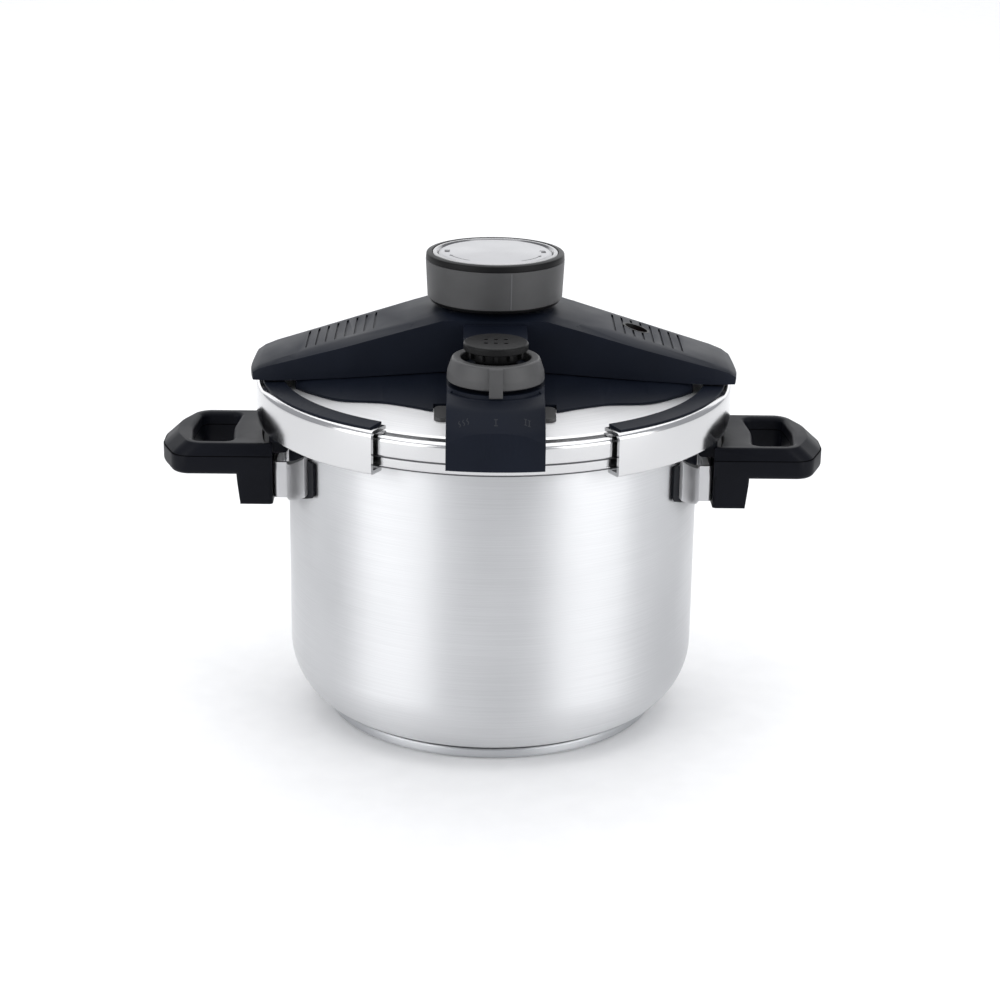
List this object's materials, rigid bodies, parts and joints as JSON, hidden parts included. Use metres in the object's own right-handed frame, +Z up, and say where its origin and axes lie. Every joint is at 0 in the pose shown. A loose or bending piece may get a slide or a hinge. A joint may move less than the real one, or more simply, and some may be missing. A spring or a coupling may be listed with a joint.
{
  "type": "stovetop pressure cooker",
  "caption": "Lidded steel pot with side grips; a top knob draws two curved jaws that clamp the lid, and a front valve sets the pressure.",
  "frame": {"origin": "centre of the base, on the surface that the pot stands on", "axes": "+Z up along the pot's axis; +X towards the right side handle; -Y towards the front, where the working valve stands"},
  "size_m": [0.3572, 0.2533, 0.2547],
  "materials": {
    "steel_satin": "satin stainless steel",
    "steel_brushed": "circular brushed stainless steel",
    "steel_polished": "mirror polished stainless steel",
    "aluminium": "rolled",
    "handle_plastic": "satin moulded thermoset",
    "navy_plastic": "satin moulded plastic",
    "grey_plastic": "soft satin plastic",
    "black_plastic": "fine textured plastic",
    "chrome_trim": "bright plated",
    "disc_aluminium": "spun satin disc",
    "mechanism_steel": "blanked and tumbled",
    "fastener_steel": "zinc plated",
    "valve_steel": "turned",
    "spring_steel": "drawn wire",
    "silicone": "moulded silicone",
    "indicator_metal": "red anodised"
  },
  "bodies": {
    "pot": {"pot_shell": "steel_satin", "base_cap": "steel_brushed", "base_core": "aluminium", "left_handle_pad": "handle_plastic", "right_handle_pad": "handle_plastic", "left_weld_studs": "fastener_steel", "right_weld_studs": "fastener_steel", "left_bracket": "steel_polished", "right_bracket": "steel_polished", "left_handle": "handle_plastic", "right_handle": "handle_plastic", "left_handle_screws": "fastener_steel", "right_handle_screws": "fastener_steel"},
    "lid": {"lid_pan": "steel_satin", "sealing_gasket": "silicone", "bridge_cover": "navy_plastic", "bridge_base": "navy_plastic", "cover_screws": "fastener_steel", "guide_plate": "mechanism_steel", "centre_stud": "mechanism_steel", "centre_nut": "mechanism_steel", "valve_housing": "navy_plastic", "valve_base_plate": "grey_plastic", "valve_body": "valve_steel", "valve_seal": "silicone", "valve_nut": "valve_steel", "valve_spring": "spring_steel", "safety_valve_body": "valve_steel", "safety_valve_cap": "valve_steel", "safety_valve_nut": "valve_steel", "safety_valve_spring": "spring_steel", "indicator_bush": "silicone"},
    "knob": {"knob_body": "grey_plastic", "knob_lower_trim": "black_plastic", "knob_upper_trim": "black_plastic", "knob_bezel": "chrome_trim", "knob_disc": "disc_aluminium", "knob_screw": "fastener_steel", "drive_spindle": "mechanism_steel", "drive_pinion": "mechanism_steel"},
    "left_clamp": {"left_rack_bar": "mechanism_steel", "left_jaw": "steel_polished", "left_jaw_cover": "navy_plastic", "left_jaw_rivets": "fastener_steel"},
    "right_clamp": {"right_rack_bar": "mechanism_steel", "right_jaw": "steel_polished", "right_jaw_cover": "navy_plastic", "right_jaw_rivets": "fastener_steel"},
    "selector": {"selector_ring": "grey_plastic"},
    "valve_button": {"valve_cap": "black_plastic", "valve_stem": "valve_steel"},
    "safety_plug": {"safety_valve_plug": "valve_steel"},
    "indicator": {"indicator_pin": "indicator_metal", "indicator_seal": "silicone"}
  },
  "joints": [
    {"name": "lid_lift", "type": "slide", "parent": "pot", "child": "lid", "axis": [0, 0, 1], "range_m": [0, 0.0008]},
    {"name": "knob_turn", "type": "hinge", "parent": "lid", "child": "knob", "pos_m": [0, 0, 0.24], "axis": [0, 0, 1], "range_deg": [0, 90]},
    {"name": "left_jaw_slide", "type": "slide", "parent": "lid", "child": "left_clamp", "axis": [-1, 0, 0], "range_m": [0, 0.01414]},
    {"name": "right_jaw_slide", "type": "slide", "parent": "lid", "child": "right_clamp", "axis": [1, 0, 0], "range_m": [0, 0.01414]},
    {"name": "selector_turn", "type": "hinge", "parent": "lid", "child": "selector", "pos_m": [0, -0.087, 0.21], "axis": [0, 0, 1], "range_deg": [-22.5, 22.5]},
    {"name": "valve_lift", "type": "slide", "parent": "lid", "child": "valve_button", "axis": [0, 0, 1], "range_m": [0, 0.002], "stiffness_N_per_m": 300, "springref_m": -0.002, "deforming": ["valve_spring"]},
    {"name": "safety_valve_lift", "type": "slide", "parent": "lid", "child": "safety_plug", "axis": [0, 0, 1], "range_m": [0, 0.002], "stiffness_N_per_m": 400, "springref_m": -0.002, "deforming": ["safety_valve_spring"]},
    {"name": "indicator_rise", "type": "slide", "parent": "lid", "child": "indicator", "axis": [0, 0, 1], "range_m": [0, 0.003]}
  ],
  "couplings": [
    {"joint": "left_jaw_slide", "follows": "knob_turn", "m_per_rad": 0.009},
    {"joint": "right_jaw_slide", "follows": "knob_turn", "m_per_rad": 0.009}
  ]
}
